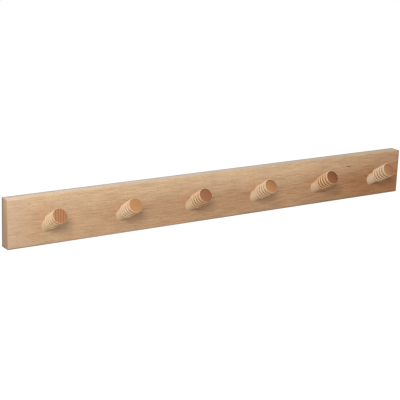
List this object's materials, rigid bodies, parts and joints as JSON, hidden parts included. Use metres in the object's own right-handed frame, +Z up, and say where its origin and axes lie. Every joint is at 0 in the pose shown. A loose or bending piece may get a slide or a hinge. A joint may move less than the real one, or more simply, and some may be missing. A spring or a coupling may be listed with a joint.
{
  "type": "peg rail",
  "caption": "Solid wood wall rail: a plain board with a row of ribbed turned pegs leaning upwards, hung on keyhole plates let into its back.",
  "frame": {"origin": "centre of the board's back face, which lies against the wall", "axes": "+X along the rail to the right as seen from the room, +Y into the wall, +Z up; the pegs stand out towards -Y and lean up"},
  "size_m": [0.9, 0.0849, 0.09],
  "materials": {
    "beech_board": "fine sanded and oiled, grain along the length",
    "beech_peg": "turned and oiled, darker end grain on the head",
    "zinc_plate": "zinc-plated pressed steel",
    "zinc_screw": "zinc-plated steel"
  },
  "bodies": {
    "root": {"rail": "beech_board", "peg_1": "beech_peg", "peg_2": "beech_peg", "peg_3": "beech_peg", "peg_4": "beech_peg", "peg_5": "beech_peg", "peg_6": "beech_peg", "hanger_plate_left": "zinc_plate", "hanger_plate_right": "zinc_plate", "hanger_screw_left_upper": "zinc_screw", "hanger_screw_left_lower": "zinc_screw", "hanger_screw_right_upper": "zinc_screw", "hanger_screw_right_lower": "zinc_screw"}
  },
  "joints": []
}
